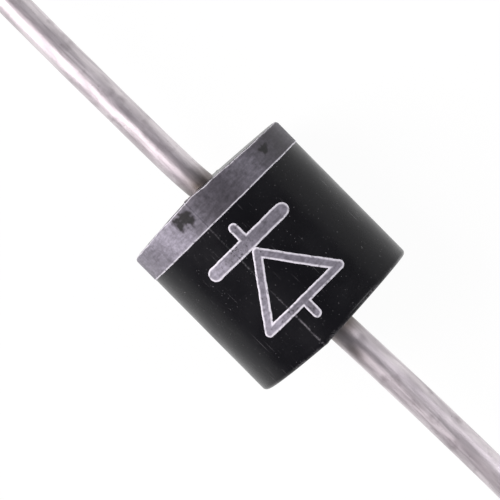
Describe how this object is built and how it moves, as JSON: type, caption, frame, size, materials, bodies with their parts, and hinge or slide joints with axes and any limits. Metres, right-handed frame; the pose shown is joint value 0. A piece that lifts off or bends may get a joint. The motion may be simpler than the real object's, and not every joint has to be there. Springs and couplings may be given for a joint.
{
  "type": "axial rectifier diode",
  "caption": "Axial-lead rectifier diode: black moulded cylinder with a grey cathode band, a printed diode symbol and two tinned wire leads, for soldering through a board.",
  "frame": {"origin": "middle of the moulded body, on the line of the two leads", "axes": "+X along the leads towards the anode, with the banded cathode end towards -X; the two mould halves meet on the XZ plane; +Z towards the side that carries the printed symbol"},
  "size_m": [0.0598, 0.009, 0.009],
  "materials": {
    "moulding_compound": "black moulded epoxy, satin",
    "marking_ink": "grey printed ink, mottled",
    "tinned_copper": "tin plate, satin",
    "solder": "lead-tin solder, dull",
    "silicon": "lapped silicon, dull sheen",
    "coating_resin": "cream silicone, matt"
  },
  "bodies": {
    "root": {"moulded_case": "moulding_compound", "cathode_band": "marking_ink", "polarity_print": "marking_ink", "cathode_lead": "tinned_copper", "anode_lead": "tinned_copper", "cathode_solder": "solder", "anode_solder": "solder", "silicon_die": "silicon", "junction_coating": "coating_resin"}
  },
  "joints": []
}
